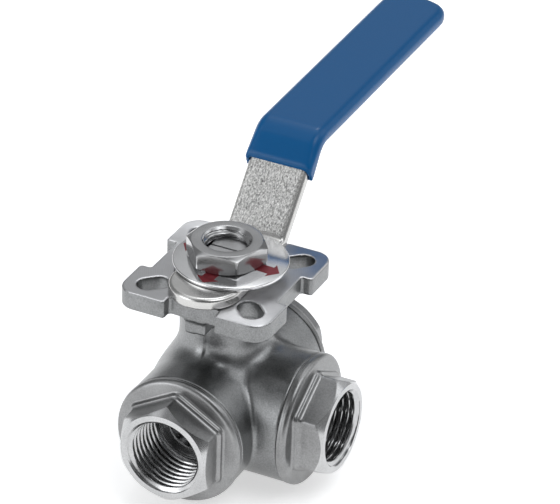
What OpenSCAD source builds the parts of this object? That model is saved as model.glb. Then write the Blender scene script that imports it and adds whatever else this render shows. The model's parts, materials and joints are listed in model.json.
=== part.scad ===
// Three-way (T-port) ball valve, 1/2 inch, with an ISO 5211 actuator pad and a
// bent hand lever. Millimetres, +Z up. The origin is the centre of the pad's top
// face, on the stem axis. The ports point to -Y (front), +X (right) and +Y (rear);
// the -X side of the body is closed. The lever lies along +Y at rest.

/* [Body] */
// Drop from the top of the pad to the port axes
port_drop = 37; // [37:0.1:38]
// Outside radius of the cast core around the ball
core_r = 18.7; // [18.5:0.1:18.9]
// Outside radius of each arm
arm_r = 17.5; // [17:0.1:17.5]
// Distance from the valve centre to the seams of the end caps
flange_face = 23.7; // [22:0.1:24]
// Radius of the neck between the core and the pad
neck_r = 11.8; // [11.7:0.1:12.6]

/* [Actuator pad] */
// Side of the square pad
pad_w = 42.2; // [42:0.1:44]
// Thickness of the pad
pad_t = 5; // [4.5:0.1:5.5]
// Corner radius of the pad
pad_corner_r = 5; // [3:0.5:6]
// Width of the notch in the middle of each side
notch_w = 14.2; // [12:0.1:15]
// Depth of the notch
notch_depth = 3.1; // [2:0.1:3.5]
// Width of the small cast lug below the front notch
lug_w = 6.1; // [4:0.1:8]
// How far that lug hangs below the pad
lug_drop = 4.2; // [2:0.1:5]
// Inner bolt circle, ISO 5211 F03
inner_pcd = 36; // [36:0.1:37]
// Outer bolt circle, ISO 5211 F04
outer_pcd = 42; // [40:0.1:42]
// Width of the bolt slots
slot_w = 6; // [5.6:0.1:6.4]

/* [Ports] */
// Distance from the valve centre to the port faces
port_face = 34.5; // [34.5:0.1:37]
// Across flats of the end caps
cap_hex = 25; // [25:0.1:27]
// Collar radius of the end caps
collar_r = 17.6; // [17.4:0.1:18]
// Distance from the valve centre to the front of the collar
collar_face = 26.3; // [26:0.1:27]
// Width of the cast step around the foot of the hexagon
cap_foot = 1.2; // [0.5:0.1:1.3]
// Crest radius of the G 1/2 female thread
port_thread_r = 9.32; // [9.2:0.01:9.4]
// Depth of the thread
port_thread_len = 16; // [13:0.1:16]
// Radius of the flow passage
flow_r = 6.25; // [6:0.05:6.4]

/* [Ball and stem] */
// Ball radius
ball_r = 12.5; // [12.4:0.05:12.55]
// Stem radius, threaded M12
stem_r = 6; // [5.98:0.01:6.02]
// Across the two flats of the stem
stem_flats = 9; // [8.6:0.1:9.4]
// Height of the stem's end above the pad
stem_top = 7; // [6.5:0.1:8]

/* [Lever] */
// Radius of the lever's round nose
nose_r = 9.75; // [9.5:0.05:10]
// How far the nose reaches in front of the stem axis
nose_reach = 21; // [20:0.1:21]
// Width of the lever's strip
strip_w = 17; // [16:0.1:17.4]
// Thickness of the lever
lever_t = 3; // [2.8:0.1:3.1]
// Where the strip turns up, behind the stem axis
riser_start = 16.8; // [16.8:0.1:20]
// Where the strip turns level again
riser_end = 36.1; // [34:0.1:40]
// Height of the strip's middle at the upper turn
grip_z = 23.5; // [22:0.1:30]
// Rise of the grip's end above level, in degrees
grip_slope = 1; // [0:0.5:3]
// Reach of the sleeved end behind the stem axis
lever_reach = 118; // [100:1:150]
// Radius of the arc that ends the lever
end_arc_r = 15; // [12:1:30]
// Wall of the vinyl sleeve
sleeve_wall = 1.1; // [0.8:0.1:1.4]
// Bare length of riser hidden by the sleeve below the upper turn
sleeve_overlap = 9.1; // [6:0.1:10]
// Extra reach of the sleeve's underside down the riser, from its slanted open end
sleeve_slant = 2.4; // [0:0.1:4]
// Radius of the indicator disc
disc_r = 15.1; // [14.8:0.1:15.2]
// Across flats of the lever nut
nut_af = 19; // [18:0.1:19]
// Across flats of the gland nut
gland_nut_af = 17; // [16.6:0.1:17]
// Height of the lever nut
lever_nut_h = 5.5; // [5:0.1:6]

/* [Hidden] */
$fn = 64;
eps = 0.01;

// directions of the arms, in degrees about +Z from +X
front = -90;
right = 0;
rear = 90;
left = 180;
slot_angles = [45, 135, 225, 315];

// clearances: between pieces that stay together, and around pieces that turn
fit_gap = 0.03;
turn_gap = 0.05;
bore_gap = 0.08;

// end caps and seats, as distances from the valve centre along an arm
seat_front = 9.6;
seat_back = 12.8;
seat_r = 9.3;
seat_bore_r = flow_r + 0.25;
nose_end = 11.2;
nose_ring_r = 11;
spigot_end = 14.2;
spigot_r = 13.97;
socket_r = spigot_r + fit_gap;
passage_end = port_face - port_thread_len;
notch_floor = pad_w / 2 - notch_depth;
port_mouth_r = port_thread_r + 1.25;
cap_hex_r = cap_hex / sqrt(3);
cap_face_r = cap_hex / 2 - 0.5;
collar_chamfer = 1;
gasket_t = 0.8;
gasket_in_r = 14.3;
gasket_out_r = 16;
cavity_r = ball_r + 0.7;
arm_bore_r = ball_r + 0.3;

// the stack on the stem, as heights from the top of the pad
ball_z = -port_drop;
ball_slot_floor = ball_z + 9;
tang_w = 4.9;
tang_l = 13;
ball_slot_w = tang_w + 2 * turn_gap;
collar_z = ball_z + ball_r + 0.2;
stem_collar_r = 8;
stem_collar_h = 2.1;
thrust_z = collar_z + stem_collar_h + turn_gap;
thrust_h = 0.95;
packing_floor = -16.5;
packing_r = 8.3;
packing_h = 2;
gland_z = packing_floor + 3 * packing_h;
nut_pocket_floor = -8;
nut_pocket_r = 10.2;
gland_top = nut_pocket_floor + 0.15;
spring_z = gland_top + turn_gap;
spring_r = 9.2;
spring_rise = 0.45;
spring_t = 0.5;
spring_h = spring_rise + spring_t;
gland_nut_z = spring_z + 2 * spring_h;
gland_nut_h = 4;
tab_z = gland_nut_z + gland_nut_h;
tab_t = 0.6;
o_ring_z = (packing_floor + thrust_z + thrust_h) / 2;
o_ring_section = 0.76;
o_ring_r = 5.27;
o_ring_groove_r = 4.5;
o_ring_groove_h = 1.8;
lever_z = 0.3;
stop_z = tab_z + tab_t;
stop_tooth_r = 13;
stop_hub_r = 9.7;
stop_tooth_angle = 225;
stop_tooth_half = 14;
stop_slack = 1.5;
travel = 90;
stop_pocket_r = 13.3;
stop_pocket_depth = 1.9;
disc_z = lever_z + lever_t + 0.05;
disc_t = 1;
lever_nut_z = disc_z + disc_t + 0.05;
// the disc was punched a little off its hole, and the nut stands as it was tightened
disc_offset = [1.2, 0.2];
lever_nut_turn = 10.6;

// the lever's centre line in the Y-Z plane
lever_mid_z = lever_z + lever_t / 2;
riser_angle = atan2(grip_z - lever_mid_z, riser_end - riser_start);
bend_r = 6;
foot_bend_r = 2.3;
bend_tangent = bend_r * tan((riser_angle - grip_slope) / 2);
foot_tangent = foot_bend_r * tan(riser_angle / 2);
sleeve_start = [riser_end, grip_z] - sleeve_overlap * [cos(riser_angle), sin(riser_angle)];
riser_normal = [-sin(riser_angle), cos(riser_angle)];
sleeve_half_t = lever_t / 2 + sleeve_wall;
sleeve_half_w = strip_w / 2 + sleeve_wall;
strip_end = lever_reach - sleeve_wall;
tip_z = grip_z + (lever_reach - riser_end) * tan(grip_slope);

cast_steel = "#9b9d9f";
turned_steel = "#b4b6b8";
polished_steel = "#c9cbcd";
plate_steel = "#aaa79f";
ptfe = "#f2f1ec";
graphite = "#3c3d40";
rubber = "#1c1c1e";
vinyl_blue = "#2f6397";

// Places children, drawn along +Z from the valve centre, along one arm
module along(direction) {
    translate([0, 0, ball_z]) rotate([0, 0, direction]) rotate([0, 90, 0]) children();
}

// A round ring around the local Z axis
module ring(inner, outer, z, h) {
    translate([0, 0, z]) difference() {
        cylinder(r = outer, h = h);
        translate([0, 0, -eps]) cylinder(r = inner, h = h + 2 * eps);
    }
}

// A hexagon across flats af, with its end faces turned to a circle
module turned_hex(af, h, bottom_turned) {
    corner = af / sqrt(3);
    face_r = af / 2 - 0.15;
    rise = (corner - face_r) * tan(30);
    low = bottom_turned ? rise : 0;
    low_r = bottom_turned ? face_r : corner;
    intersection() {
        cylinder(r = corner, h = h, $fn = 6);
        rotate_extrude() polygon([[0, 0], [low_r, 0], [corner, low], [corner, h - rise], [face_r, h], [0, h]]);
    }
}

// The round hole or shank with two flats that keys pieces to the stem
module double_d(gap) {
    intersection() {
        circle(r = stem_r + gap);
        square([stem_flats + 2 * gap, 2 * stem_r + 1], center = true);
    }
}

// A pie slice between two angles
module wedge(from, to) {
    reach = 30;
    middle = (from + to) / 2;
    polygon([
        [0, 0],
        reach * [cos(from), sin(from)],
        reach * [cos(middle), sin(middle)],
        reach * [cos(to), sin(to)]
    ]);
}

module rounded_square(w, r) {
    square([w, w - 2 * r], center = true);
    square([w - 2 * r, w], center = true);
    for (sx = [-1, 1], sy = [-1, 1]) translate([sx, sy] * (w / 2 - r)) circle(r = r);
}

module pad() {
    translate([0, 0, -pad_t]) linear_extrude(pad_t) difference() {
        rounded_square(pad_w, pad_corner_r);
        for (a = [0, 90, 180, 270])
            rotate(a) translate([pad_w / 2 - notch_depth, -notch_w / 2]) square([notch_depth + 1, notch_w]);
        for (a = slot_angles) rotate(a) {
            translate([inner_pcd / 2, 0]) circle(d = slot_w);
            translate([outer_pcd / 2, 0]) circle(d = slot_w);
            translate([inner_pcd / 2, -slot_w / 2]) square([(outer_pcd - inner_pcd) / 2, slot_w]);
        }
    }
}

// One arm of the casting, a plain barrel up to the seam of its end cap
module arm() {
    rotate_extrude() polygon([
        [0, 0], [arm_r, 0], [arm_r, flange_face - 0.3], [arm_r - 0.3, flange_face], [0, flange_face]
    ]);
}

// The bore the ball goes in by, the threaded socket and the recess for the gasket
module arm_socket() {
    translate([0, 0, seat_front / 2]) cylinder(r = arm_bore_r, h = flange_face);
    translate([0, 0, spigot_end - fit_gap]) cylinder(r = socket_r, h = flange_face);
    translate([0, 0, flange_face - gasket_t]) cylinder(r = gasket_out_r + fit_gap, h = 2);
}

module stem_passage() {
    translate([0, 0, ball_z]) cylinder(r = stem_collar_r + bore_gap, h = thrust_z + thrust_h - ball_z);
    translate([0, 0, thrust_z]) cylinder(r = stem_r + bore_gap, h = -thrust_z);
    translate([0, 0, packing_floor]) cylinder(r = packing_r, h = -packing_floor);
    translate([0, 0, nut_pocket_floor]) cylinder(r = nut_pocket_r, h = 1 - nut_pocket_floor);
}

// The pocket whose two ends stop the stop plate's tooth
module stop_pocket() {
    reach = stop_tooth_half + stop_slack;
    translate([0, 0, -stop_pocket_depth]) linear_extrude(stop_pocket_depth + 1) intersection() {
        circle(r = stop_pocket_r);
        wedge(stop_tooth_angle - travel - reach, stop_tooth_angle + reach);
    }
}

module valve_body() {
    color(cast_steel) difference() {
        union() {
            pad();
            translate([0, 0, ball_z]) cylinder(r = neck_r, h = port_drop - pad_t / 2);
            translate([0, 0, ball_z]) sphere(r = core_r);
            for (a = [front, right, rear]) along(a) arm();
            // the small cast lug below the front notch
            translate([-lug_w / 2, -notch_floor, -pad_t - lug_drop]) cube([lug_w, notch_floor - neck_r + 1, lug_drop + 1]);
        }
        translate([0, 0, ball_z]) sphere(r = cavity_r);
        for (a = [front, right, rear]) along(a) arm_socket();
        along(left) cylinder(r = seat_r + fit_gap, h = seat_back);
        stem_passage();
        stop_pocket();
    }
}

// An end cap: threaded spigot, collar, hexagon with turned corners, and the port
module end_cap() {
    difference() {
        union() {
            translate([0, 0, nose_end]) cylinder(r = nose_ring_r, h = spigot_end - nose_end + 1);
            translate([0, 0, spigot_end]) cylinder(r = spigot_r, h = flange_face - spigot_end + 1);
            rotate_extrude() polygon([
                [0, flange_face], [collar_r, flange_face], [collar_r, collar_face - collar_chamfer],
                [collar_r - collar_chamfer, collar_face], [0, collar_face]
            ]);
            translate([0, 0, flange_face + 1])
                cylinder(r = cap_hex_r + cap_foot, h = collar_face + cap_foot - flange_face - 1, $fn = 6);
            intersection() {
                translate([0, 0, flange_face + 1]) cylinder(r = cap_hex_r, h = port_face - flange_face - 1, $fn = 6);
                rotate_extrude() polygon([
                    [0, flange_face], [cap_hex_r + 1, flange_face],
                    [cap_hex_r + 1, port_face - (cap_hex_r + 1 - cap_face_r)], [cap_face_r, port_face],
                    [0, port_face]
                ]);
            }
        }
        cylinder(r = seat_r + fit_gap, h = seat_back);
        cylinder(r = flow_r, h = port_face);
        translate([0, 0, passage_end]) cylinder(r = port_thread_r, h = port_thread_len + 1);
        translate([0, 0, port_face - (port_mouth_r - port_thread_r)])
            cylinder(r1 = port_thread_r, r2 = port_mouth_r + 1, h = port_mouth_r + 1 - port_thread_r);
    }
}

module cap_gasket() {
    ring(gasket_in_r, gasket_out_r, flange_face - gasket_t, gasket_t);
}

// A seat ring whose front is ground to the ball
module ball_seat() {
    difference() {
        ring(seat_bore_r, seat_r, seat_front, seat_back - seat_front);
        sphere(r = ball_r + turn_gap);
    }
}

module front_end_cap() { color(turned_steel) along(front) end_cap(); }
module right_end_cap() { color(turned_steel) along(right) end_cap(); }
module rear_end_cap() { color(turned_steel) along(rear) end_cap(); }
module front_cap_gasket() { color(ptfe) along(front) cap_gasket(); }
module right_cap_gasket() { color(ptfe) along(right) cap_gasket(); }
module rear_cap_gasket() { color(ptfe) along(rear) cap_gasket(); }
module front_ball_seat() { color(ptfe) along(front) ball_seat(); }
module right_ball_seat() { color(ptfe) along(right) ball_seat(); }
module rear_ball_seat() { color(ptfe) along(rear) ball_seat(); }
module left_ball_seat() { color(ptfe) along(left) ball_seat(); }

// T-port ball: bored right through along X, with a branch to the front
module ball() {
    color(polished_steel) difference() {
        translate([0, 0, ball_z]) sphere(r = ball_r);
        along(left) translate([0, 0, -ball_r]) cylinder(r = flow_r, h = 2 * ball_r);
        along(front) cylinder(r = flow_r, h = ball_r);
        translate([-ball_slot_w / 2, -ball_r, ball_slot_floor]) cube([ball_slot_w, 2 * ball_r, ball_r]);
    }
}

module stem() {
    color(turned_steel) difference() {
        union() {
            translate([-tang_w / 2, -tang_l / 2, ball_slot_floor + 0.2])
                cube([tang_w, tang_l, collar_z - ball_slot_floor]);
            translate([0, 0, collar_z]) cylinder(r = stem_collar_r, h = stem_collar_h);
            translate([0, 0, collar_z]) cylinder(r = stem_r, h = nut_pocket_floor - collar_z);
            translate([0, 0, nut_pocket_floor - 1]) linear_extrude(stem_top + 1 - nut_pocket_floor) double_d(0);
        }
        ring(o_ring_groove_r, stem_r + 1, o_ring_z - o_ring_groove_h / 2, o_ring_groove_h);
        // the mark across the end that shows where the ball's through bore lies
        translate([-stem_r, -0.35, stem_top - 0.5]) cube([2 * stem_r, 0.7, 1]);
    }
}

module stem_thrust_washer() {
    color(ptfe) ring(stem_r + turn_gap, stem_collar_r, thrust_z, thrust_h);
}

module stem_o_ring() {
    color(rubber) translate([0, 0, o_ring_z]) rotate_extrude() translate([o_ring_r, 0]) circle(r = o_ring_section);
}

module packing_ring(level) {
    color(ptfe) ring(stem_r + turn_gap, packing_r - fit_gap, packing_floor + level * packing_h, packing_h);
}

module lower_packing_ring() { packing_ring(0); }
module middle_packing_ring() { packing_ring(1); }
module upper_packing_ring() { packing_ring(2); }

module gland_ring() {
    color(turned_steel) ring(stem_r + bore_gap, packing_r - fit_gap, gland_z, gland_top - gland_z);
}

// A conical spring washer, with its outer rim up or down
module disc_spring(z, rim_up) {
    rim = rim_up ? spring_rise : 0;
    hub = rim_up ? 0 : spring_rise;
    color(polished_steel) translate([0, 0, z]) rotate_extrude() polygon([
        [stem_r + 0.15, hub], [spring_r, rim], [spring_r, rim + spring_t], [stem_r + 0.15, hub + spring_t]
    ]);
}

module lower_disc_spring() { disc_spring(spring_z, true); }
module upper_disc_spring() { disc_spring(spring_z + spring_h, false); }

module gland_nut() {
    color(polished_steel) translate([0, 0, gland_nut_z]) difference() {
        turned_hex(gland_nut_af, gland_nut_h, true);
        translate([0, 0, -eps]) cylinder(r = stem_r + fit_gap, h = gland_nut_h + 2 * eps);
    }
}

// Keyed to the stem, with two tabs folded down over the gland nut
module tab_washer() {
    color(plate_steel) {
        difference() {
            translate([0, 0, tab_z]) cylinder(r = stop_hub_r, h = tab_t);
            translate([0, 0, tab_z - eps]) linear_extrude(tab_t + 2 * eps) double_d(fit_gap);
        }
        for (s = [-1, 1])
            translate([-3, s * (gland_nut_af / 2 + 0.35) - 0.3, tab_z - 2.4]) cube([6, 0.6, 2.4 + tab_t / 2]);
    }
}

module stop_plate() {
    color(plate_steel) translate([0, 0, stop_z]) linear_extrude(lever_z - stop_z) difference() {
        union() {
            circle(r = stop_hub_r);
            intersection() {
                circle(r = stop_tooth_r);
                wedge(stop_tooth_angle - stop_tooth_half, stop_tooth_angle + stop_tooth_half);
            }
        }
        double_d(fit_gap);
    }
}

// Points of an arc about a centre
function arc(centre, r, from, to) =
    let (steps = 12) [for (i = [0:steps]) let (a = from + (to - from) * i / steps) centre + r * [cos(a), sin(a)]];

foot_centre = [riser_start - foot_tangent, lever_mid_z + foot_bend_r];
grip_normal = [-sin(grip_slope), cos(grip_slope)];
bend_end = [riser_end, grip_z] + bend_tangent * [cos(grip_slope), sin(grip_slope)];
bend_centre = bend_end - bend_r * grip_normal;
grip_tip = [lever_reach + 1, tip_z + tan(grip_slope)];

// Outline of the bent strip in the Y-Z plane, half_t to each side of its centre line
function strip_outline(half_t, whole) = concat(
    whole ? [[8, lever_mid_z + half_t]] : [],
    whole ? arc(foot_centre, foot_bend_r - half_t, -90, -90 + riser_angle) : [sleeve_start + half_t * riser_normal],
    arc(bend_centre, bend_r + half_t, 90 + riser_angle, 90 + grip_slope),
    [grip_tip + half_t * grip_normal, grip_tip - half_t * grip_normal],
    arc(bend_centre, bend_r - half_t, 90 + grip_slope, 90 + riser_angle),
    whole ? arc(foot_centre, foot_bend_r + half_t, -90 + riser_angle, -90) : [
        sleeve_start - half_t * riser_normal - sleeve_slant * [cos(riser_angle), sin(riser_angle)]
    ],
    whole ? [[8, lever_mid_z - half_t]] : []
);

module strip(half_t, half_w, whole, reach) {
    intersection() {
        rotate([90, 0, 90]) linear_extrude(2 * half_w, center = true) polygon(strip_outline(half_t, whole));
        translate([0, 0, -5]) linear_extrude(tip_z + 20) {
            translate([-half_w, 0]) square([2 * half_w, reach - end_arc_r]);
            intersection() {
                translate([-half_w, 0]) square([2 * half_w, reach]);
                translate([0, reach - end_arc_r]) circle(r = end_arc_r);
            }
        }
    }
}

module lever() {
    nose_centre = nose_r - nose_reach;
    neck_y = 11;
    color(plate_steel) {
        translate([0, 0, lever_z]) linear_extrude(lever_t) difference() {
            union() {
                translate([0, nose_centre]) circle(r = nose_r);
                polygon([
                    [-nose_r, nose_centre], [nose_r, nose_centre], [nose_r, neck_y - 3], [strip_w / 2, neck_y],
                    [-strip_w / 2, neck_y], [-nose_r, neck_y - 3]
                ]);
            }
            double_d(fit_gap);
        }
        strip(lever_t / 2, strip_w / 2, true, strip_end);
    }
}

module lever_sleeve() {
    color(vinyl_blue) difference() {
        strip(sleeve_half_t, sleeve_half_w, false, lever_reach);
        strip(lever_t / 2 + fit_gap, strip_w / 2 + fit_gap, true, strip_end + fit_gap);
    }
}

module indicator_disc() {
    color(polished_steel) translate([0, 0, disc_z]) linear_extrude(disc_t) difference() {
        translate(disc_offset) circle(r = disc_r);
        double_d(fit_gap);
    }
}

module lever_nut() {
    color(polished_steel) translate([0, 0, lever_nut_z]) difference() {
        rotate([0, 0, lever_nut_turn]) turned_hex(nut_af, lever_nut_h, true);
        translate([0, 0, -eps]) cylinder(r = stem_r + fit_gap, h = lever_nut_h + 1);
        translate([0, 0, lever_nut_h - 0.6]) cylinder(r1 = stem_r, r2 = stem_r + 1.2, h = 1.2);
    }
}

valve_body();
front_end_cap();
right_end_cap();
rear_end_cap();
front_cap_gasket();
right_cap_gasket();
rear_cap_gasket();
front_ball_seat();
right_ball_seat();
rear_ball_seat();
left_ball_seat();
ball();
stem();
stem_thrust_washer();
stem_o_ring();
lower_packing_ring();
middle_packing_ring();
upper_packing_ring();
gland_ring();
lower_disc_spring();
upper_disc_spring();
gland_nut();
tab_washer();
stop_plate();
lever();
lever_sleeve();
indicator_disc();
lever_nut();
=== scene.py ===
import json
import math
import bpy
import bmesh
import numpy as np
from mathutils import Matrix, Vector


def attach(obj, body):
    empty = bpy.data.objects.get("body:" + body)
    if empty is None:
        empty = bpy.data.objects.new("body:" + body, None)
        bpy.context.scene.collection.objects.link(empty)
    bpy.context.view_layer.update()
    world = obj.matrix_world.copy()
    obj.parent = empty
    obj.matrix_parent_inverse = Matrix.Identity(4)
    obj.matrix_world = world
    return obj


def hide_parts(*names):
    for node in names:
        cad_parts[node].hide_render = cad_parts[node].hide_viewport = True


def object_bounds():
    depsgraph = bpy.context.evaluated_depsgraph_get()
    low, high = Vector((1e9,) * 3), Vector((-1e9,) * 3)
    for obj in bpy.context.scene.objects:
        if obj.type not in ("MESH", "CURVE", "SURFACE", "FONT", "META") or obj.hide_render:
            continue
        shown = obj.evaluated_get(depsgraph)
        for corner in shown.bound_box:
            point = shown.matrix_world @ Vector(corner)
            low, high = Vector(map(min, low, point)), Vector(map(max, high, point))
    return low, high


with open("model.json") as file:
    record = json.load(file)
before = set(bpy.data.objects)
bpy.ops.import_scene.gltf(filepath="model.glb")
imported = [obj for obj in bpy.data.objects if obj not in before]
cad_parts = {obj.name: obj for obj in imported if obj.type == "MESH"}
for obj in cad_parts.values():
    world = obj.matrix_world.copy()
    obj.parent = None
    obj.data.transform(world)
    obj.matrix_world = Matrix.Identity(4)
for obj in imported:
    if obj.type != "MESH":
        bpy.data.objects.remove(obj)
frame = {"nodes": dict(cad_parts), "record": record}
cad_box = [list(c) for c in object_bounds()]

# Shapes are drawn in millimetres and new_object turns them into metres.
# Angles are in degrees where they are written as whole numbers, and in radians inside functions.
MM = 0.001
TAU = 2 * math.pi

# The arms that carry an end cap, with the direction each points in, about +Z from +X
ARMS = {"front": -90, "right": 0, "rear": 90}
PORT_Z = -37.0  # the ports' axes, below the top of the pad
PORT_FACE = 34.5  # a cap's outer face, from the stem's axis
SEAM = 23.7  # the seam between an arm and its cap, from the stem's axis


# ---------------------------------------------------------------- mesh helpers

def cos_sin(degrees):
    a = math.radians(degrees)
    return math.cos(a), math.sin(a)


def smoothstep(a, b, x):
    t = np.clip((x - a) / (b - a), 0, 1)
    return t * t * (3 - 2 * t)


def new_object(name, points, faces, sharp_angle):
    """A smooth-shaded object. Edges that turn by more than sharp_angle stay sharp."""
    mesh = bpy.data.meshes.new(name)
    mesh.from_pydata([tuple(p) for p in np.asarray(points, float) * MM], [], faces)
    mesh.update()
    mesh.validate()
    obj = bpy.data.objects.new(name, mesh)
    bpy.context.scene.collection.objects.link(obj)
    mesh.shade_smooth()
    bm = bmesh.new()
    bm.from_mesh(mesh)
    limit = math.radians(sharp_angle)
    for e in bm.edges:
        e.smooth = not (len(e.link_faces) == 2 and e.calc_face_angle(0) > limit)
    bm.to_mesh(mesh)
    bm.free()
    return obj


def set_attribute(obj, name, values):
    attribute = obj.data.attributes.new(name, "FLOAT", "POINT")
    attribute.data.foreach_set("value", np.asarray(values, np.float32))


def circle_angles(count):
    return np.arange(count) * TAU / count


def ring(radius, height, angles):
    """A ring of points about Z. The radius and the height may be numbers or one value per angle."""
    r = np.broadcast_to(radius, angles.shape)
    h = np.broadcast_to(height, angles.shape)
    return np.c_[r * np.cos(angles), r * np.sin(angles), h]


def tube(sections, angles):
    """Points and faces of a skin through rings about Z, given as (radius, height) pairs in turn."""
    count = len(angles)
    faces = []
    for i in range(len(sections) - 1):
        for j in range(count):
            k = (j + 1) % count
            low, high = i * count, (i + 1) * count
            faces.append((low + j, low + k, high + k, high + j))
    return np.vstack([ring(r, h, angles) for r, h in sections]), faces


def inside_out(part):
    points, faces = part
    return points, [f[::-1] for f in faces]


def merge(*parts):
    """One set of points and faces from several."""
    points, faces, base = [], [], 0
    for p, f in parts:
        points.append(np.asarray(p, float))
        faces += [tuple(i + base for i in face) for face in f]
        base += len(p)
    return np.vstack(points), faces


def arc_points(centre, radius, start, end, steps):
    """(radius, height) pairs along an arc, from one angle to another."""
    t = np.radians(np.linspace(start, end, steps + 1))
    return [(centre[0] + radius * math.cos(a), centre[1] + radius * math.sin(a)) for a in t]


def to_arm(points, direction):
    """Moves points drawn about +Z from the valve's centre onto the arm in that direction."""
    c, s = cos_sin(direction)
    out, side, up = np.array([c, s, 0]), np.array([-s, c, 0]), np.array([0, 0, 1.0])
    # local x is side, local y is up and local z is out, which is right-handed
    return points[:, :1] * side + points[:, 1:2] * up + points[:, 2:] * out + [0, 0, PORT_Z]


def thread_shape(turns):
    """Rounded V form of a thread, 0 at a crest and 1 at a root, over one pitch."""
    return smoothstep(0.1, 0.9, np.abs(2 * (turns % 1.0) - 1))


def hex_radius(angles, apothem, rounding):
    """Polar radius of a hexagon with rounded corners. A corner lies at angle 0."""
    phi = np.abs((angles + math.pi / 6) % (math.pi / 3) - math.pi / 6)
    centre = (apothem - rounding) / math.cos(math.pi / 6)
    flat = apothem / np.cos(math.pi / 6 - phi)
    rounded = np.sqrt(np.maximum(rounding**2 - (centre * np.sin(phi)) ** 2, 0))
    flat_half = (apothem - rounding) * math.tan(math.pi / 6)
    on_flat = apothem * np.tan(math.pi / 6 - phi) <= flat_half
    return np.where(on_flat, flat, centre * np.cos(phi) + rounded)


# ---------------------------------------------------------------- end caps

CAP_APOTHEM, CAP_CORNER = 12.25, 1.0  # hexagon and the radius of its corners
FOOT_APOTHEM, FOOT_CORNER = 13.1, 2.4  # the wider cast foot of the hexagon
FOOT_TOP = 27.6
FLARE = 1.1  # the length over which the hexagon widens to its foot
CAP_FACE_R = 11.95
CAP_CHAMFER = 1.05  # the chamfer's fall for its width
COLLAR_EDGE, COLLAR_ROUNDING = (16.35, 25.0), 1.25
PORT_CREST, PORT_ROOT, PORT_PITCH = 9.32, 10.48, 1.814  # G 1/2
PORT_MOUTH, PORT_FLOOR = 10.45, 18.5

# (radius, distance from the stem's axis) down the collar, round the spigot and back up the bore
CAP_COLLAR_SIDE = [
    (17.6, 24.8), (17.6, 24.72), (17.53, 24.66), (17.53, 24.54), (17.6, 24.48), (17.6, 24.2),
    (17.6, 24.12), (17.53, 24.06), (17.53, 23.98), (17.58, 23.92), (17.5, 23.8),
    (17.25, SEAM + 0.03), (16.9, SEAM + 0.02), (13.97, SEAM + 0.02),
]
CAP_SPIGOT = [
    (13.97, 14.4), (13.77, 14.2), (11.0, 14.2), (11.0, 11.3), (10.9, 11.2), (9.33, 11.2),
    (9.33, 12.8), (6.25, 12.8), (6.25, 18.2), (6.5, PORT_FLOOR),
]


def port_thread():
    """The wall of a port from its face down to its floor, as a real right-handed helix."""
    angles = circle_angles(144)
    sections = []
    for h in np.arange(PORT_FACE, PORT_FLOOR, -0.13):
        depth = thread_shape(h / PORT_PITCH - angles / TAU)
        fade = smoothstep(PORT_FLOOR, PORT_FLOOR + 1.2 * PORT_PITCH, h)
        r = PORT_CREST + (PORT_ROOT - PORT_CREST) * depth * fade
        sections.append((np.maximum(r, PORT_MOUTH - (PORT_FACE - h)), h))
    return tube(sections, angles)


def cap_outside(angles, hexagon):
    """(radius, height) of the cap's skin, from the mouth of the port out, down and back inside."""
    foot = hex_radius(angles + math.pi / 2, FOOT_APOTHEM, FOOT_CORNER)
    sections = [(PORT_MOUTH, PORT_FACE), (CAP_FACE_R - 0.1, PORT_FACE), (CAP_FACE_R, PORT_FACE - 0.04)]
    # the turned chamfer ends where it meets the hexagon, so its end follows the flats
    rim = PORT_FACE - 0.12
    end = rim - np.maximum(hexagon - CAP_FACE_R, 0.02) * CAP_CHAMFER
    for t in np.linspace(0, 1, 6):
        sections.append((CAP_FACE_R + (hexagon - CAP_FACE_R) * t, rim + (end - rim) * t))
    for t in (0.03, 0.1, 0.3, 0.5, 0.7, 0.9, 1.0):
        sections.append((hexagon, end + (FOOT_TOP + FLARE - end) * t))
    # the hexagon flares softly into its cast foot, whose rounded rim drops to the collar
    for a in (15, 30, 45, 60, 75):
        c, s = cos_sin(a)
        sections.append((hexagon + (foot - 0.35 - hexagon) * (1 - c), FOOT_TOP + FLARE - 1.0 * s))
    for a in (75, 55, 35, 15, 0):
        c, s = cos_sin(a)
        sections.append((foot - 0.5 + 0.5 * c, FOOT_TOP - 0.5 + 0.5 * s))
    for a in (5, 25, 45, 65, 90):
        c, s = cos_sin(a)
        sections.append((foot + 0.02 + 0.7 * (1 - c), FOOT_TOP - 0.6 - 0.7 * s))
    sections.append((16.2, FOOT_TOP - 1.32))
    sections += arc_points(COLLAR_EDGE, COLLAR_ROUNDING, 88, 4, 9)
    return sections + CAP_COLLAR_SIDE + CAP_SPIGOT


def end_cap(name, direction, node):
    angles = circle_angles(288)
    hexagon = hex_radius(angles + math.pi / 2, CAP_APOTHEM, CAP_CORNER)  # a corner points up
    outside = tube(cap_outside(angles, hexagon), angles)
    floor = tube([(PORT_CREST, PORT_FLOOR + 0.05), (9.2, PORT_FLOOR), (6.5, PORT_FLOOR)], angles)
    points, faces = merge(outside, inside_out(port_thread()), inside_out(floor))
    obj = new_object(name, to_arm(points, direction), faces, sharp_angle=30)
    # machined: the face, the port, the seam's face, and the chamfer over the hexagon's corners
    radius, height = np.hypot(points[:, 0], points[:, 1]), points[:, 2]
    polar = np.arctan2(points[:, 1], points[:, 0]) + math.pi / 2
    in_port = (radius < 10.6) & (height > 14)
    on_chamfer = (height > 30.5) & (radius < hex_radius(polar, CAP_APOTHEM, CAP_CORNER) - 0.02)
    machined = (height > PORT_FACE - 0.3) | in_port | (height < SEAM + 0.01) | on_chamfer
    set_attribute(obj, "machined", machined)
    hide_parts(node)
    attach(obj, "valve")
    return obj


# ---------------------------------------------------------------- distance fields

def smooth_min(a, b, k):
    h = np.clip(0.5 + 0.5 * (b - a) / k, 0, 1)
    return b + (a - b) * h - k * h * (1 - h)


def smooth_max(a, b, k):
    return -smooth_min(-a, -b, k)


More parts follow.
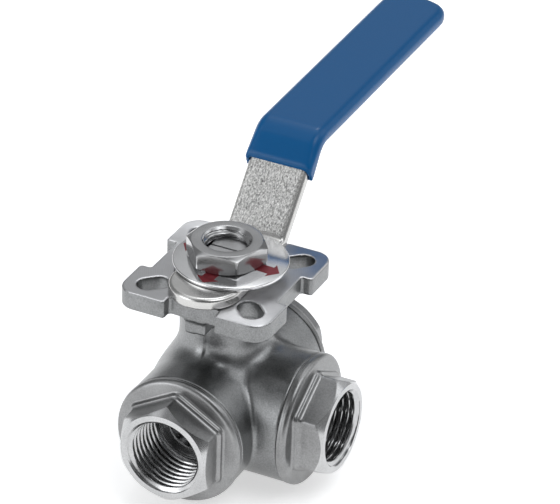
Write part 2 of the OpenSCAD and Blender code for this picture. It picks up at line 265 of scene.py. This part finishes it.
def rounded_corner(a, b, r):
    """The part inside both a and b, with the edge between them rounded to r."""
    return np.minimum(np.maximum(a + r, b + r), 0) + np.hypot(np.maximum(a + r, 0), np.maximum(b + r, 0)) - r


def rounded_box(q, half, r):
    """Distance to an axis-aligned box with rounded edges; q is a list of coordinates."""
    d = [np.abs(c) - (h - r) for c, h in zip(q, half)]
    outside = np.sqrt(sum(np.maximum(c, 0) ** 2 for c in d))
    return outside + np.minimum(np.maximum.reduce(d), 0) - r


def rod(radial, along, radius, low, high, r):
    """Distance to a cylinder between two stations, with rounded rims."""
    return rounded_corner(radial - radius, np.maximum(along - high, low - along), r)


def polygonise(field, low, high, step):
    """Surface nets on a regular grid, then pulled onto the surface: points and quads."""
    low, high = np.array(low, float), np.array(high, float)
    n = np.ceil((high - low) / step).astype(int) + 1
    axes = [low[i] + step * np.arange(n[i]) for i in range(3)]
    values = np.empty(n, np.float64)
    yy, zz = np.meshgrid(axes[1], axes[2], indexing="ij")
    for i, x in enumerate(axes[0]):
        values[i] = field(np.c_[np.full(yy.size, x), yy.ravel(), zz.ravel()]).reshape(yy.shape)
    inside = values < 0

    # one point in each cell that the surface crosses, at the mean of its crossings
    corners = [(a, b, c) for a in (0, 1) for b in (0, 1) for c in (0, 1)]
    filled = np.zeros(n - 1, int)
    for a, b, c in corners:
        filled += inside[a:n[0] - 1 + a, b:n[1] - 1 + b, c:n[2] - 1 + c]
    active = (filled > 0) & (filled < 8)
    cells = np.argwhere(active)
    index = -np.ones(n - 1, int)
    index[active] = np.arange(len(cells))
    total, weight = np.zeros((len(cells), 3)), np.zeros(len(cells))
    for corner in corners:
        for axis in range(3):
            if corner[axis]:
                continue
            other = list(corner)
            other[axis] = 1
            ia, ib = cells + corner, cells + other
            va, vb = values[tuple(ia.T)], values[tuple(ib.T)]
            cross = (va < 0) != (vb < 0)
            point = np.tile(np.array(corner, float), (len(cells), 1))
            point[:, axis] = np.where(cross, va / np.where(cross, va - vb, 1), 0)
            total[cross] += point[cross]
            weight[cross] += 1
    points = low + step * (cells + total / weight[:, None])

    # one quad round each grid edge that the surface crosses
    faces = []
    for axis in range(3):
        u, v = (axis + 1) % 3, (axis + 2) % 3
        first, second = [slice(None)] * 3, [slice(None)] * 3
        first[axis], second[axis] = slice(0, -1), slice(1, None)
        e = np.argwhere(inside[tuple(first)] != inside[tuple(second)])
        e = e[(e[:, u] > 0) & (e[:, v] > 0) & (e[:, u] < n[u] - 1) & (e[:, v] < n[v] - 1)]
        quad = []
        for du, dv in ((0, 0), (1, 0), (1, 1), (0, 1)):
            q = e.copy()
            q[:, u] -= du
            q[:, v] -= dv
            quad.append(index[tuple(q.T)])
        quad = np.stack(quad, 1)
        outward = inside[tuple(e.T)]
        quad[~outward] = quad[~outward][:, ::-1]
        faces.append(quad)
    faces = np.vstack(faces)

    eps = 0.02
    for _ in range(4):
        d = field(points)
        shifts = eps * np.eye(3)
        slope = [(field(points + s) - field(points - s)) / (2 * eps) for s in shifts]
        g = np.stack(slope, 1)
        length = np.maximum((g * g).sum(1), 0.25)
        points = points - np.clip(d / length, -0.5 * step, 0.5 * step)[:, None] * g
    return points, [tuple(int(i) for i in f) for f in faces]


# ---------------------------------------------------------------- cast body

CORE_R, ARM_R, ARM_END = 18.7, 17.45, SEAM - 0.02
NECK_R = 11.75
UNDERSIDE = 55.66  # the casting's flat underside, below the top of the pad
PAD_HALF, PAD_CORNER, PAD_HALF_T = 21.05, 5.0, 2.5
SLOT_NEAR, SLOT_FAR, SLOT_R = 18.0, 21.0, 2.9  # bolt circles of 36 and 42 mm
POCKET_R, POCKET_DEPTH = 13.3, 1.9  # where the stop plate's tooth runs
CHAMBER_R = 13.2
FAR = 1e3  # a distance beyond everything


def pad_field(x, y, z):
    plan = rounded_box([x, y], [PAD_HALF, PAD_HALF], PAD_CORNER)
    for angle in (0, 90, 180, 270):
        c, s = cos_sin(angle)
        notch = rounded_box([x * c + y * s - 23.0, -x * s + y * c], [5.0, 7.1], 0.7)
        plan = smooth_max(plan, -notch, 0.9)
    return rounded_corner(plan, np.abs(z + PAD_HALF_T) - PAD_HALF_T, 0.35)


def slot_field(x, y, z):
    slots = np.full_like(x, FAR)
    for angle in (45, 135, 225, 315):
        c, s = cos_sin(angle)
        u, v = x * c + y * s, -x * s + y * c
        slots = np.minimum(slots, np.hypot(u - np.clip(u, SLOT_NEAR, SLOT_FAR), v) - SLOT_R)
    return np.maximum(slots, -z - 8)


def body_field(p):
    x, y, z = p[:, 0], p[:, 1], p[:, 2]
    zc = z - PORT_Z
    centre_r, neck_r = np.sqrt(x * x + y * y + zc * zc), np.hypot(x, y)
    along_y, along_x = np.hypot(x, zc), np.hypot(y, zc)
    front = rod(along_y, -y, ARM_R, 0, ARM_END, 0.35)
    rear = rod(along_y, y, ARM_R, 0, ARM_END, 0.35)
    right = rod(along_x, x, ARM_R, 0, ARM_END, 0.35)
    arms = smooth_min(smooth_min(front, right, 1.3), rear, 1.3)
    arms = smooth_min(arms, centre_r - CORE_R, 2.5)
    neck = rod(neck_r, z, NECK_R, PORT_Z, -3.0, 0.3)
    shape = smooth_max(smooth_min(arms, neck, 5.0), -z - UNDERSIDE, 0.4)
    # the lug below the front notch
    shape = smooth_min(shape, rounded_box([x, y + 13.3, z + 6.2], [3.0, 4.5, 3.0], 0.7), 1.0)
    # the parting line down the front of the neck, with the pit at its foot
    ridge = smoothstep(0.4, 0.05, x) * smoothstep(-4.5, -1.0, x) * (y < 0)
    shape = shape - 0.22 * ridge * smoothstep(-20.0, -18.0, z) * smoothstep(-8.5, -9.5, z)
    pit = np.sqrt(x * x + (y + 12.4) ** 2 + (z + 18.9) ** 2) - 0.55
    shape = smooth_max(shape, -pit, 0.3)
    # the pad, faced flat on top
    shape = np.maximum(smooth_min(shape, pad_field(x, y, z), 1.6), z)
    shape = smooth_max(shape, -slot_field(x, y, z), 0.45)
    # the gland's recess, the packing's bore, the stem's bore and the stop's pocket
    shape = np.maximum(shape, -np.maximum(neck_r - 10.2, -8 - z))
    shape = np.maximum(shape, -np.maximum(neck_r - 8.3, -16.5 - z))
    shape = np.maximum(shape, -(neck_r - 6.1 + FAR * (z < PORT_Z)))
    turned = np.abs(np.arctan2(y, x) % TAU - math.pi)
    pocket = [neck_r - POCKET_R, -POCKET_DEPTH - z, (turned - math.radians(60.5)) * 13]
    shape = np.maximum(shape, -np.maximum.reduce(pocket))
    # the ball chamber, the arms' bores and threads, and the recess of the seat on the closed side
    hollow = centre_r - CHAMBER_R
    for radial, along in ((along_y, -y), (along_y, y), (along_x, x)):
        hollow = np.minimum(hollow, np.maximum(radial - 12.8, 4 - along))
        hollow = np.minimum(hollow, np.maximum(radial - 14.0, 14.2 - along))
    hollow = np.minimum(hollow, np.maximum(along_x - 9.33, np.maximum(x, -x - 12.8)))
    return np.maximum(shape, -hollow)


def valve_body():
    """The casting, and which of its faces are machined: the pad's top and the pocket's floor."""
    step = 0.34
    points, faces = polygonise(body_field, (-21.9, -24.6, -57.0), (24.6, 24.6, 1.1), step)
    obj = new_object("cast_body", points, faces, sharp_angle=42)
    height = np.array([points[list(f), 2].mean() for f in faces])
    radius = np.array([np.hypot(*points[list(f), :2].T).mean() for f in faces])
    on_floor = (height > -POCKET_DEPTH - 0.3) & (height < -POCKET_DEPTH + 0.3)
    machined = (height > -0.2) | ((radius < 13.5) & on_floor)
    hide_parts("valve_body")
    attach(obj, "valve")
    return obj, np.flatnonzero(machined)


# ---------------------------------------------------------------- lever and sleeve

# The strip is drawn flat, by its distance along its middle, and then bent. It lies flat over the
# stem, turns up at its foot into the riser, and turns back into the grip.
LEVER_MID = 1.8
STRIP_HALF_T, STRIP_HALF_W = 1.5, 8.45
BEND_FOOT_Y, BEND_FOOT_R = 16.8, 2.3
BEND_TOP_Y, BEND_TOP_Z, BEND_TOP_R = 36.1, 23.5, 6.0
GRIP_SLOPE = math.radians(1.0)
REACH = 118.0
RISER = math.atan2(BEND_TOP_Z - LEVER_MID, BEND_TOP_Y - BEND_FOOT_Y)
FOOT_TANGENT = BEND_FOOT_R * math.tan(RISER / 2)
TOP_TANGENT = BEND_TOP_R * math.tan((RISER - GRIP_SLOPE) / 2)
FOOT_START = BEND_FOOT_Y - FOOT_TANGENT
RISER_START = FOOT_START + BEND_FOOT_R * RISER
RISER_LENGTH = math.hypot(BEND_TOP_Z - LEVER_MID, BEND_TOP_Y - BEND_FOOT_Y)
TOP_START = RISER_START + RISER_LENGTH - FOOT_TANGENT - TOP_TANGENT
GRIP_START = TOP_START + BEND_TOP_R * (RISER - GRIP_SLOPE)
GRIP_LENGTH = (REACH - BEND_TOP_Y - TOP_TANGENT * math.cos(GRIP_SLOPE)) / math.cos(GRIP_SLOPE)
TIP = GRIP_START + GRIP_LENGTH

SLEEVE_HALF_T, SLEEVE_HALF_W, SLEEVE_WALL = 2.58, 9.5, 1.2
SLEEVE_OVERLAP = 9.0  # from the sleeve's open end to the corner of the upper turn
SLEEVE_SLANT = 2.3  # how much further the underside reaches down the riser
NOSE_R, NOSE_CENTRE = 9.72, 11.25


def bend(points):
    """(x, distance along the strip, height off its middle) to the bent strip's place."""
    x, s, w = points.T
    y, z = np.minimum(s, FOOT_START), np.full_like(s, LEVER_MID)
    foot = np.where(s >= FOOT_START, np.minimum((s - FOOT_START) / BEND_FOOT_R, RISER), 0)
    y = y + BEND_FOOT_R * np.sin(foot)
    z = z + BEND_FOOT_R * (1 - np.cos(foot))
    run = np.clip(s - RISER_START, 0, TOP_START - RISER_START)
    y = y + run * math.cos(RISER)
    z = z + run * math.sin(RISER)
    top = RISER - np.clip((s - TOP_START) / BEND_TOP_R, 0, RISER - GRIP_SLOPE)
    y = y + BEND_TOP_R * (math.sin(RISER) - np.sin(top))
    z = z + BEND_TOP_R * (np.cos(top) - math.cos(RISER))
    run = np.maximum(s - GRIP_START, 0)
    y = y + run * math.cos(GRIP_SLOPE)
    z = z + run * math.sin(GRIP_SLOPE)
    angle = np.where(s < TOP_START, foot, top)
    return np.c_[x, y - w * np.sin(angle), z + w * np.cos(angle)]


def strip_plan(x, s, half_width, tip, arc_radius):
    """Distance in plan to a strip with an arched end."""
    rect = np.maximum(np.abs(x) - half_width, -s)
    end = np.hypot(x, s - (tip - arc_radius)) - arc_radius
    return smooth_max(rect, np.where(s > tip - arc_radius, end, s - tip), 3.0)


def lever_field(p):
    x, s, w = p.T
    nose = np.hypot(x, s + NOSE_CENTRE) - NOSE_R
    hub = np.maximum(np.abs(x) - NOSE_R, np.maximum(-NOSE_CENTRE - s, s - 9.0))
    strip = strip_plan(x, s, STRIP_HALF_W, TIP - SLEEVE_WALL, 14.0)
    plan = smooth_min(np.minimum(nose, hub), strip, 1.5)
    # the riser's upper rims are ground rounder than the flat part's
    upper = 1.0 + 0.48 * smoothstep(FOOT_START, RISER_START + 1.0, s)
    d = rounded_corner(plan, np.abs(w) - STRIP_HALF_T, np.where(w > 0, upper, 0.4))
    double_d = np.maximum(np.hypot(x, s) - 6.03, np.abs(x) - 4.53)
    return np.maximum(d, -double_d)


def sleeve_field(p):
    x, s, w = p.T
    # the open end is slanted, so that the underside reaches further down the riser
    slant = SLEEVE_SLANT * (SLEEVE_HALF_T - w) / (2 * SLEEVE_HALF_T)
    start = TOP_START + TOP_TANGENT - SLEEVE_OVERLAP - slant
    plan = strip_plan(x, s, SLEEVE_HALF_W, TIP, 15.0)
    plan = smooth_max(plan, 0.9 * (start - s), 0.3)
    # the dip is rounder along the grip and squarer at its open end
    edge = 2.35 - 1.0 * smoothstep(start + 8, start, s)
    d = rounded_corner(plan, np.abs(w) - SLEEVE_HALF_T, edge)
    # a soft swelling along the middle of each broad side
    d = d + 0.10 * smoothstep(6.5, SLEEVE_HALF_W, np.abs(x)) * (np.abs(w) > 1.5)
    inner = rounded_box([x, w], [8.5, 1.55], 1.0)
    return np.maximum(d, -np.maximum(inner, s - start - 3.0))


def lever_piece():
    step = 0.36
    flat, faces = polygonise(lever_field, (-10.5, -21.8, -2.0), (10.5, TIP, 2.0), step)
    obj = new_object("lever_plate", bend(flat), faces, sharp_angle=50)
    x, s, w = flat.T
    # the riser's broad upper face is coarse
    along = smoothstep(FOOT_START + 2.5, RISER_START + 1.0, s)
    set_attribute(obj, "rough_face", along * smoothstep(8.2, 7.2, np.abs(x)) * (w > 1.3))
    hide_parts("lever")
    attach(obj, "stem_and_lever")
    return obj


def sleeve_piece():
    step = 0.5
    low, high = (-10.6, TOP_START - 11.5, -3.4), (10.6, TIP + 1.2, 3.4)
    flat, faces = polygonise(sleeve_field, low, high, step)
    obj = new_object("vinyl_sleeve", bend(flat), faces, sharp_angle=50)
    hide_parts("lever_sleeve")
    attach(obj, "stem_and_lever")
    return obj


# ---------------------------------------------------------------- nut and indicator disc

NUT_LOW, NUT_TOP, NUT_TURN = 4.42, 9.88, 10.6
NUT_APOTHEM, NUT_CORNER, NUT_CHAMFER_R = 9.46, 0.55, 9.3
NUT_CREST, NUT_DEPTH, NUT_PITCH = 5.25, 0.85, 1.5
NUT_MOUTH, STEM_END = 6.4, 7.02
BORE_R = 6.05


def lever_nut():
    low, top, chamfer_r = NUT_LOW, NUT_TOP, NUT_CHAMFER_R
    angles = circle_angles(288)
    hexagon = hex_radius(angles - math.radians(NUT_TURN), NUT_APOTHEM, NUT_CORNER)
    rise = np.maximum(hexagon - chamfer_r, 0.02) * math.tan(math.radians(30))
    sections = [(BORE_R, low), (9.2, low), (chamfer_r, low + 0.04)]
    for t in (0.25, 0.5, 0.75, 1.0):
        sections.append((chamfer_r + (hexagon - chamfer_r) * t, low + 0.05 + rise * t))
    for t in (0.03, 0.1, 0.3, 0.5, 0.7, 0.9, 0.97, 1.0):
        sections.append((hexagon, low + 0.1 + rise + (top - low - 0.2 - 2 * rise) * t))
    for t in (0.25, 0.5, 0.75, 1.0):
        sections.append((hexagon + (chamfer_r - hexagon) * t, top - 0.05 - rise * (1 - t)))
    sections += [(9.22, top - 0.01), (9.1, top), (6.7, top), (6.5, top - 0.04), (NUT_MOUTH, top - 0.12)]
    shell = tube(sections, angles)
    # the thread shows above the end of the stem
    angles = circle_angles(144)
    sections = []
    for h in np.arange(top - 0.12, STEM_END, -0.07):
        r = NUT_CREST + NUT_DEPTH * thread_shape((h + 0.6) / NUT_PITCH - angles / TAU)
        sections.append((np.maximum(r, NUT_MOUTH - (top - 0.12 - h) * 0.9), h))
    sections += [(BORE_R, STEM_END), (BORE_R, low)]
    points, faces = merge(shell, tube(sections, angles))
    obj = new_object("hex_nut", points, faces, sharp_angle=28)
    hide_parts("lever_nut")
    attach(obj, "stem_and_lever")
    return obj


DISC_LOW, DISC_TOP, DISC_R, DISC_BORE = 3.36, 4.34, 15.08, 6.1
DISC_SHIFT = (1.2, 0.2, 0)  # the disc sits off the stem's axis, by its play on the stem
ARROW = [(6.4, -1.75), (11.7, -1.75), (11.7, -3.2), (14.25, 0), (11.7, 3.2), (11.7, 1.75), (6.4, 1.75)]
INK_THICKNESS = 0.02


def indicator():
    """The disc with its three arrows, and the number of the first inked face."""
    low, top, radius = DISC_LOW, DISC_TOP, DISC_R
    profile = [
        (DISC_BORE, low), (radius - 0.3, low), (radius - 0.08, low + 0.08), (radius, low + 0.3),
        (radius, top - 0.3), (radius - 0.05, top - 0.14), (radius - 0.16, top - 0.04),
        (radius - 0.3, top), (DISC_BORE, top), (DISC_BORE, low),
    ]
    disc = tube(profile, circle_angles(192))
    # one arrow for each of the ball's bores, as thin inked shapes
    points, faces, n = [], [], len(ARROW)
    for direction in (0, 180, -90):
        c, s = cos_sin(direction - 3.7)
        base = len(points)
        for lift in (0.0, INK_THICKNESS):
            points += [(u * c - v * s, u * s + v * c, top + lift) for u, v in ARROW]
        faces.append(tuple(base + n + i for i in range(n)))
        for i in range(n):
            k = (i + 1) % n
            faces.append((base + i, base + k, base + n + k, base + n + i))
    all_points, all_faces = merge(disc, (points, faces))
    obj = new_object("flow_disc", all_points + DISC_SHIFT, all_faces, sharp_angle=40)
    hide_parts("indicator_disc")
    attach(obj, "stem_and_lever")
    return obj, len(disc[1])


# ---------------------------------------------------------------- materials

class Graph:
    """A procedural material on a Principled shader. Inputs may be numbers, colours or sockets."""

    def __init__(self, name):
        self.material = bpy.data.materials.new(name)
        self.material.use_nodes = True
        self.tree = self.material.node_tree
        self.shader = self.tree.nodes["Principled BSDF"]

    def set(self, node, key, value):
        if isinstance(value, bpy.types.NodeSocket):
            self.tree.links.new(value, node.inputs[key])
        else:
            node.inputs[key].default_value = value

    def node(self, kind, inputs=None, **settings):
        n = self.tree.nodes.new(kind)
        for key, value in settings.items():
            setattr(n, key, value)
        for key, value in (inputs or {}).items():
            self.set(n, key, value)
        return n

    def math(self, operation, a, b=0.0):
        return self.node("ShaderNodeMath", {0: a, 1: b}, operation=operation).outputs[0]

    def weighted(self, a, a_weight, b, b_weight):
        return self.math("ADD", self.math("MULTIPLY", a, a_weight), self.math("MULTIPLY", b, b_weight))

    def position(self):
        return self.node("ShaderNodeTexCoord").outputs["Object"]

    def noise(self, scale, detail, rough, stretch=None):
        vector = self.position()
        if stretch:
            vector = self.node("ShaderNodeMapping", {"Vector": vector, "Scale": stretch}).outputs[0]
        inputs = {"Vector": vector, "Scale": scale, "Detail": detail, "Roughness": rough}
        return self.node("ShaderNodeTexNoise", inputs).outputs["Fac"]

    def ramp(self, value, low, high, a, b):
        inputs = {"Value": value, "From Min": low, "From Max": high, "To Min": a, "To Max": b}
        return self.node("ShaderNodeMapRange", inputs).outputs[0]

    def spread(self, noise, a, b):
        """The usual range of a noise, spread from a to b."""
        return self.ramp(noise, 0.3, 0.7, a, b)

    def mix(self, factor, a, b):
        return self.node("ShaderNodeMix", {0: factor, 2: a, 3: b}, data_type="FLOAT").outputs[0]

    def mix_colour(self, factor, a, b):
        inputs = {0: factor, 6: (*a, 1), 7: (*b, 1)}
        return self.node("ShaderNodeMix", inputs, data_type="RGBA").outputs[2]

    def tinted(self, level, tint):
        parts = {i: self.math("MULTIPLY", level, tint[i]) for i in range(3)}
        return self.node("ShaderNodeCombineColor", parts).outputs[0]

    def attribute(self, name):
        return self.node("ShaderNodeAttribute", attribute_name=name).outputs["Fac"]

    def bump(self, height, strength, distance):
        inputs = {"Height": height, "Strength": strength, "Distance": distance}
        return self.node("ShaderNodeBump", inputs).outputs[0]

    def finish(self, **sockets):
        for key, value in sockets.items():
            self.set(self.shader, key.replace("_", " "), value)
        return self.material


def cast_steel():
    """Investment cast and blasted."""
    g = Graph("cast_stainless")
    cloud, grain, pits = g.noise(90, 5, 0.6), g.noise(2600, 3, 0.6), g.noise(900, 2, 0.5)
    tone = g.math("ADD", g.spread(cloud, -0.05, 0.05), g.spread(grain, -0.05, 0.05))
    return g.finish(
        Base_Color=g.tinted(g.math("ADD", 0.25, tone), (0.985, 1, 1.01)),
        Metallic=1.0,
        Roughness=g.spread(cloud, 0.29, 0.38),
        Normal=g.bump(g.weighted(grain, 0.5, pits, 0.7), 0.5, 0.00012),
    )


def faced_steel():
    """Faced in a lathe: fine rings about the stem, which spread the shine along the radius."""
    g = Graph("faced_stainless")
    x, y, _ = g.node("ShaderNodeSeparateXYZ", {0: g.position()}).outputs
    square = g.math("ADD", g.math("POWER", x, 2.0), g.math("POWER", y, 2.0))
    across = {"W": g.math("MULTIPLY", g.math("SQRT", square), 5000.0), "Scale": 1.0, "Detail": 2.0}
    rings = g.node("ShaderNodeTexNoise", across, noise_dimensions="1D").outputs["Fac"]
    cloud = g.noise(200, 4, 0.6)
    level = g.math("ADD", g.spread(cloud, 0.59, 0.67), g.spread(rings, -0.04, 0.04))
    return g.finish(
        Base_Color=g.tinted(level, (1, 1, 1.02)),
        Metallic=1.0,
        Roughness=g.spread(cloud, 0.28, 0.36),
        Anisotropic=0.9,
        Anisotropic_Rotation=0.25,
        Tangent=g.node("ShaderNodeTangent", direction_type="RADIAL", axis="Z").outputs[0],
        Normal=g.bump(rings, 0.3, 0.00002),
    )


def cap_steel():
    """Cast outside, and brighter and smoother where it is machined."""
    g = Graph("turned_stainless")
    machined = g.attribute("machined")
    cloud, grain, pits = g.noise(120, 5, 0.6), g.noise(2400, 3, 0.6), g.noise(1000, 2, 0.5)
    tone = g.math("ADD", g.spread(cloud, -0.05, 0.05), g.spread(grain, -0.04, 0.04))
    level = g.math("ADD", g.mix(machined, 0.28, 0.5), tone)
    height = g.mix(machined, g.weighted(grain, 0.45, pits, 0.6), 0.5)
    return g.finish(
        Base_Color=g.tinted(level, (1, 1.003, 1.01)),
        Metallic=1.0,
        Roughness=g.mix(machined, g.spread(cloud, 0.29, 0.37), 0.2),
        Normal=g.bump(height, 0.4, 0.0001),
    )


def plain_steel(name, level, roughness, bump=0.15):
    g = Graph(name)
    cloud, fine = g.noise(140, 4, 0.6), g.noise(2100, 3, 0.6)
    value = g.math("ADD", g.spread(cloud, level - 0.03, level + 0.03), g.spread(fine, -0.015, 0.015))
    return g.finish(
        Base_Color=g.tinted(value, (1, 1, 1.01)),
        Metallic=1.0,
        Roughness=g.spread(cloud, roughness - 0.03, roughness + 0.04),
        Normal=g.bump(fine, bump, 0.00004),
    )


def lever_steel():
    """Smooth sheet, sparkling where its face is coarse."""
    g = Graph("sheet_stainless")
    rough_face = g.attribute("rough_face")
    fine = g.noise(4200, 2, 0.6, stretch=(1.0, 0.6, 0.6))
    coarse = g.noise(2600, 2, 0.5, stretch=(1.0, 0.55, 0.55))
    cloud = g.noise(150, 4, 0.6)
    spark = g.weighted(fine, 0.6, coarse, 0.8)
    sparkle = g.math("MULTIPLY", rough_face, g.ramp(spark, 0.5, 0.9, -0.35, 0.45))
    level = g.math("ADD", g.spread(cloud, 0.52, 0.6), sparkle)
    return g.finish(
        Base_Color=g.tinted(level, (1, 0.99, 0.97)),
        Metallic=1.0,
        Roughness=g.mix(rough_face, 0.24, 0.34),
        Normal=g.bump(g.mix(rough_face, g.math("MULTIPLY", fine, 0.12), spark), 0.8, 0.0001),
    )


def vinyl():
    g = Graph("blue_vinyl")
    cloud, speck = g.noise(60, 4, 0.6), g.noise(1400, 2, 0.5)
    tone = g.math("ADD", g.spread(cloud, -0.04, 0.04), g.ramp(speck, 0.35, 0.65, -0.03, 0.03))
    deep, pale = (0.0002, 0.074, 0.22), (0.0008, 0.1, 0.285)
    return g.finish(
        Base_Color=g.mix_colour(g.math("ADD", 0.5, tone), deep, pale),
        Roughness=g.spread(cloud, 0.3, 0.4),
        Specular_IOR_Level=0.12,
        Coat_Weight=0.3,
        Coat_Roughness=0.12,
        Normal=g.bump(speck, 0.25, 0.00006),
    )


def ink():
    g = Graph("red_ink")
    patchy = g.spread(g.noise(900, 3, 0.6), 0.0, 1.0)
    colour = g.mix_colour(patchy, (0.16, 0.012, 0.02), (0.26, 0.03, 0.04))
    return g.finish(Base_Color=colour, Roughness=0.32, Metallic=0.35)


def plastic(name, a, b, roughness):
    g = Graph(name)
    cloud = g.noise(800, 3, 0.6)
    return g.finish(
        Base_Color=g.mix_colour(g.spread(cloud, 0.0, 1.0), a, b),
        Roughness=roughness,
        Normal=g.bump(cloud, 0.1, 0.00003),
    )


def dress(obj, *materials):
    obj.data.materials.clear()
    for m in materials:
        obj.data.materials.append(m)


# ---------------------------------------------------------------- camera and studio

CAMERA_AZIMUTH, CAMERA_ELEVATION, CAMERA_ROLL = 25.245, 30.419, 1.846
CAMERA_TARGET, CAMERA_DISTANCE = (0.01504, 0, 0.01021), 1.016  # metres


def camera():
    (ca, sa), (ce, se) = cos_sin(CAMERA_AZIMUTH), cos_sin(CAMERA_ELEVATION)
    back, right = Vector((sa * ce, -ca * ce, se)), Vector((ca, sa, 0))
    cr, sr = cos_sin(CAMERA_ROLL)
    across = right * cr + back.cross(right) * sr
    rotation = Matrix((across, back.cross(across), back)).transposed()
    place = Vector(CAMERA_TARGET) + back * CAMERA_DISTANCE
    data = bpy.data.cameras.new("camera")
    data.sensor_width = 36
    data.lens = 257.5
    data.clip_end = 20
    obj = bpy.data.objects.new("camera", data)
    obj.matrix_world = Matrix.Translation(place) @ rotation.to_4x4()
    bpy.context.scene.collection.objects.link(obj)
    bpy.context.scene.camera = obj


# Soft boxes far away: azimuth, elevation, half width and softness of the edge, all in degrees,
# then strength. The negative one is a dark flag near the camera.
SOFT_BOXES = [
    (290, 26, 32, 18, -0.22),
    (270, 46, 14, 10, 0.22),
    (0, 48, 12, 9, 0.7),
    (231, 19, 16, 9, 2.2),
    (250, 10, 14, 9, 0.8),
    (210, 46, 10, 8, 0.5),
    (215, 2, 22, 10, 0.4),
    (45, 40, 15, 8, 1.1),
    (337, 62, 14, 8, 2.1),
    (10, 64, 14, 8, 0.9),
    (112, 64, 18, 9, 1.0),
    (112, 56, 5, 4, 3.5),
    (112, 38, 14, 10, 0.3),
    (200, 64, 13, 8, 0.7),
    (45, 4, 26, 10, 0.4),
]
SKY_DOWN, SKY_LEVEL, SKY_UP = 0.36, 0.34, 0.24  # brightness below, at the horizon and overhead
SKY_COLOUR = (0.97, 0.985, 1.0, 1)


def light():
    world = bpy.data.worlds.new("studio")
    world.use_nodes = True
    tree = world.node_tree
    direction = tree.nodes.new("ShaderNodeTexCoord").outputs["Generated"]

    def ramp(value, low, high, start, end, interpolation="LINEAR"):
        n = tree.nodes.new("ShaderNodeMapRange")
        n.interpolation_type = interpolation
        tree.links.new(value, n.inputs[0])
        for i, number in enumerate((low, high, start, end)):
            n.inputs[i + 1].default_value = number
        return n.outputs[0]

    def add(a, b):
        n = tree.nodes.new("ShaderNodeMath")
        tree.links.new(a, n.inputs[0])
        tree.links.new(b, n.inputs[1])
        return n.outputs[0]

    split = tree.nodes.new("ShaderNodeSeparateXYZ")
    tree.links.new(direction, split.inputs[0])
    up = split.outputs["Z"]
    total = add(ramp(up, -1, 0, SKY_DOWN, SKY_LEVEL), ramp(up, 0, 1, 0, SKY_UP - SKY_LEVEL))
    for azimuth, elevation, half, soft, strength in SOFT_BOXES:
        (ca, sa), (ce, se) = cos_sin(azimuth), cos_sin(elevation)
        towards = tree.nodes.new("ShaderNodeVectorMath")
        towards.operation = "DOT_PRODUCT"
        tree.links.new(direction, towards.inputs[0])
        towards.inputs[1].default_value = (ca * ce, sa * ce, se)
        outer, inner = cos_sin(half + soft)[0], cos_sin(max(half - soft, 0))[0]
        box = ramp(towards.outputs["Value"], outer, inner, 0, strength, "SMOOTHSTEP")
        total = add(total, box)
    background = tree.nodes["Background"]
    background.inputs[0].default_value = SKY_COLOUR
    tree.links.new(total, background.inputs[1])
    bpy.context.scene.world = world
    bpy.context.scene.view_settings.view_transform = "Standard"


FLOOR_HALF, FLOOR_GAP = 3, 0.0003  # metres


def floor():
    half, z = FLOOR_HALF, cad_box[0][2] - FLOOR_GAP
    mesh = bpy.data.meshes.new("floor")
    corners = [(-half, -half, z), (half, -half, z), (half, half, z), (-half, half, z)]
    mesh.from_pydata(corners, [], [(0, 1, 2, 3)])
    obj = bpy.data.objects.new("floor", mesh)
    bpy.context.scene.collection.objects.link(obj)
    g = Graph("floor")
    dress(obj, g.finish(
        Base_Color=g.mix_colour(g.noise(3, 2, 0.5), (0.93, 0.93, 0.93), (0.95, 0.95, 0.95)),
        Roughness=0.85,
        Emission_Color=(1, 1, 1, 1),
        Emission_Strength=0.5,
    ))


# ---------------------------------------------------------------- assembly

camera()
light()
floor()
cast = cast_steel()
cap = cap_steel()
polished = plain_steel("polished_steel", 0.72, 0.13, bump=0.06)

body, machined_faces = valve_body()
dress(body, cast, faced_steel())
for i in machined_faces:
    body.data.polygons[i].material_index = 1
for side, direction in ARMS.items():
    dress(end_cap(side + "_cap", direction, side + "_end_cap"), cap)
dress(lever_piece(), lever_steel())
dress(sleeve_piece(), vinyl())
dress(lever_nut(), plain_steel("nut_steel", 0.45, 0.17, bump=0.1))
disc, first_inked = indicator()
dress(disc, polished, ink())
for i, polygon in enumerate(disc.data.polygons):
    polygon.material_index = 1 if i >= first_inked else 0

# the pieces that stay as the CAD model has them
white = plastic("white_ptfe", (0.82, 0.81, 0.76), (0.88, 0.87, 0.83), 0.45)
by_slot = {
    "turned_stainless": plain_steel("machined_steel", 0.6, 0.22),
    "polished_stainless": polished,
    "sheet_stainless": polished,
    "ptfe": white,
    "seal_rubber": plastic("black_rubber", (0.012, 0.012, 0.013), (0.02, 0.02, 0.022), 0.6),
    "cast_stainless": cast,
    "blue_vinyl": white,
}
for part in frame["record"]["subparts"]:
    dress(frame["nodes"][part["node"]], by_slot[part["material_slot"]])
dress(frame["nodes"]["stem"], plain_steel("stem_steel", 0.45, 0.36))
